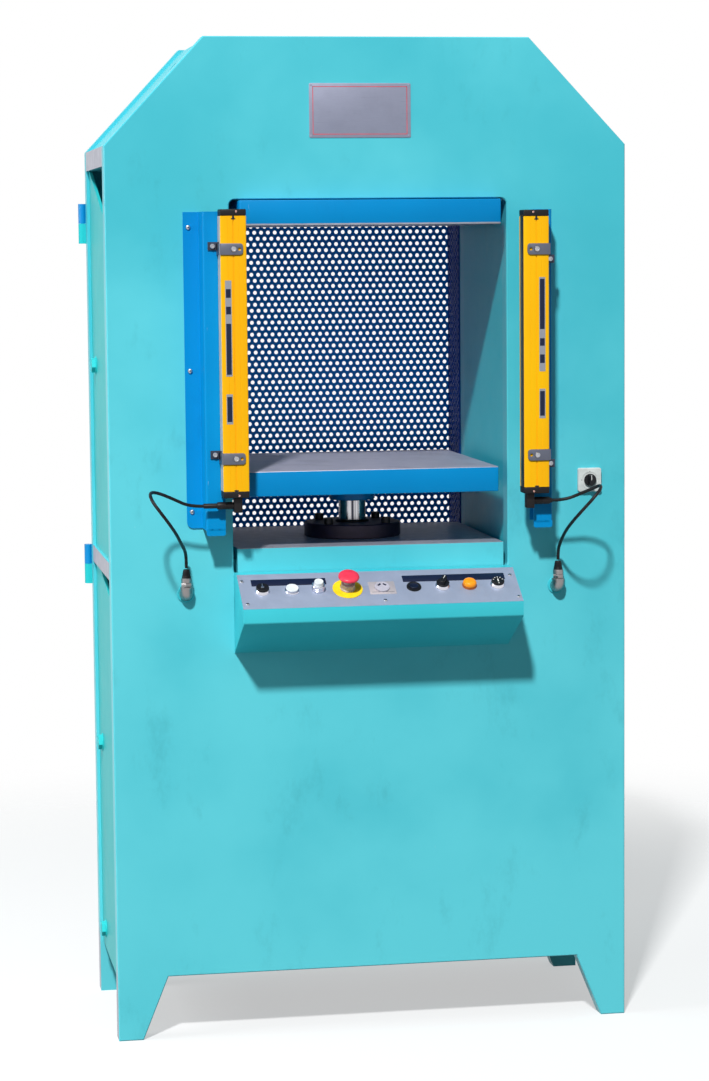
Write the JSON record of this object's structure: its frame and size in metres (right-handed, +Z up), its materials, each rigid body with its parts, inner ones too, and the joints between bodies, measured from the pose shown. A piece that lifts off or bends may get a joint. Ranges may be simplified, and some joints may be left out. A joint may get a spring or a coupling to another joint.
{
  "type": "hydraulic press",
  "caption": "Four-legged plate-frame hydraulic platen press with a rising ram, sloping control console, light curtains and a hinged rear guard.",
  "frame": {"origin": "on the floor, at the middle of the footprint from the console's front edge to the guard's rear face", "axes": "+X to the operator's right, +Y to the back, +Z up"},
  "size_m": [1.0685, 0.7388, 2],
  "materials": {
    "turquoise_paint": "semi-gloss turquoise enamel",
    "blue_paint": "semi-gloss blue enamel",
    "ground_steel": "ground steel",
    "chrome": "hard chrome, polished",
    "dark_steel": "near-black coating",
    "plate_metal": "satin aluminium",
    "yellow_paint": "powder-coated yellow",
    "yellow_plastic": "gloss yellow",
    "black_plastic": "matte black",
    "black_rubber": "matte black",
    "grey_plastic": "light grey",
    "white_plastic": "gloss white",
    "red_plastic": "gloss red",
    "orange_lens": "translucent orange"
  },
  "bodies": {
    "frame": {"front_plate": "turquoise_paint", "rear_plate": "turquoise_paint", "crosshead_plate": "turquoise_paint", "bolster_plate": "turquoise_paint", "crown_cover": "turquoise_paint", "side_covers": "turquoise_paint", "inner_walls": "turquoise_paint", "cover_bolts": "turquoise_paint", "table_plate": "turquoise_paint", "gland_flange": "dark_steel", "gland_screws": "ground_steel", "rod_wiper": "black_rubber", "cylinder": "dark_steel", "upper_platen": "blue_paint", "head_ribs": "turquoise_paint", "hinge_knuckles": "turquoise_paint", "nameplate": "plate_metal", "switch_plate": "grey_plastic", "console_housing": "turquoise_paint", "fascia_plate": "plate_metal", "legend_strips": "black_plastic", "small_screws": "ground_steel", "bezels": "chrome", "contact_blocks": "black_plastic", "stop_disc": "yellow_plastic", "stop_collar": "grey_plastic", "signal_lamp": "orange_lens", "label_plug": "grey_plastic", "curtain_profiles": "yellow_paint", "curtain_lenses": "black_plastic", "curtain_caps": "black_plastic", "curtain_brackets": "blue_paint", "curtain_clips": "ground_steel", "curtain_connectors": "black_plastic", "left_cable": "black_rubber", "right_cable": "black_rubber", "cable_elbows": "chrome", "cable_boots": "black_rubber", "unit_shelf": "ground_steel", "oil_tank": "dark_steel", "valve_block": "dark_steel", "pump_unit": "dark_steel", "pressure_pipe": "ground_steel"},
    "ram": {"lower_platen": "blue_paint", "ram_boss": "blue_paint", "ram_rod": "chrome", "piston": "ground_steel"},
    "guard": {"guard_box": "blue_paint", "guard_screen": "blue_paint", "guard_straps": "blue_paint"},
    "white_button": {"white_button": "white_plastic"},
    "black_button": {"black_button": "black_plastic"},
    "tall_button": {"tall_button": "white_plastic"},
    "stop_stem": {"stop_stem": "grey_plastic"},
    "stop_head": {"stop_head": "red_plastic"},
    "key_knob": {"key_knob": "black_plastic"},
    "mode_selector": {"mode_selector": "black_plastic"},
    "drive_selector": {"drive_selector": "black_plastic"},
    "switch_knob": {"switch_knob": "black_plastic"}
  },
  "joints": [
    {"name": "ram_slide", "type": "slide", "parent": "frame", "child": "ram", "axis": [0, 0, 1], "range_m": [0, 0.43]},
    {"name": "guard_hinge", "type": "hinge", "parent": "frame", "child": "guard", "pos_m": [-0.531, 0.245, 1.3], "axis": [0, 0, 1], "range_deg": [0, 110]},
    {"name": "white_button_press", "type": "slide", "parent": "frame", "child": "white_button", "axis": [0, 0.5145, -0.8575], "range_m": [0, 0.003], "stiffness_N_per_m": 300, "springref_m": -0.004},
    {"name": "black_button_press", "type": "slide", "parent": "frame", "child": "black_button", "axis": [0, 0.5145, -0.8575], "range_m": [0, 0.003], "stiffness_N_per_m": 300, "springref_m": -0.004},
    {"name": "tall_button_press", "type": "slide", "parent": "frame", "child": "tall_button", "axis": [0, 0.5145, -0.8575], "range_m": [0, 0.003], "stiffness_N_per_m": 300, "springref_m": -0.004},
    {"name": "stop_press", "type": "slide", "parent": "frame", "child": "stop_stem", "axis": [0, 0.5145, -0.8575], "range_m": [0, 0.006], "stiffness_N_per_m": 500, "springref_m": -0.004},
    {"name": "stop_twist", "type": "hinge", "parent": "stop_stem", "child": "stop_head", "pos_m": [-0.0658, -0.3075, 0.9145], "axis": [0, -0.5145, 0.8575], "range_deg": [-40, 0], "stiffness_Nm_per_rad": 0.05, "springref_deg": 17.19},
    {"name": "key_knob_turn", "type": "hinge", "parent": "frame", "child": "key_knob", "pos_m": [-0.23598, -0.3075, 0.9145], "axis": [0, -0.5145, 0.8575], "range_deg": [-90, 0]},
    {"name": "mode_selector_turn", "type": "hinge", "parent": "frame", "child": "mode_selector", "pos_m": [0.12561, -0.3075, 0.9145], "axis": [0, -0.5145, 0.8575], "range_deg": [-45, 45]},
    {"name": "drive_selector_turn", "type": "hinge", "parent": "frame", "child": "drive_selector", "pos_m": [0.23761, -0.3075, 0.9145], "axis": [0, -0.5145, 0.8575], "range_deg": [-45, 45]},
    {"name": "switch_knob_turn", "type": "hinge", "parent": "frame", "child": "switch_knob", "pos_m": [0.4495, -0.215, 1.1125], "axis": [0, 1, 0], "range_deg": [0, 90]}
  ]
}
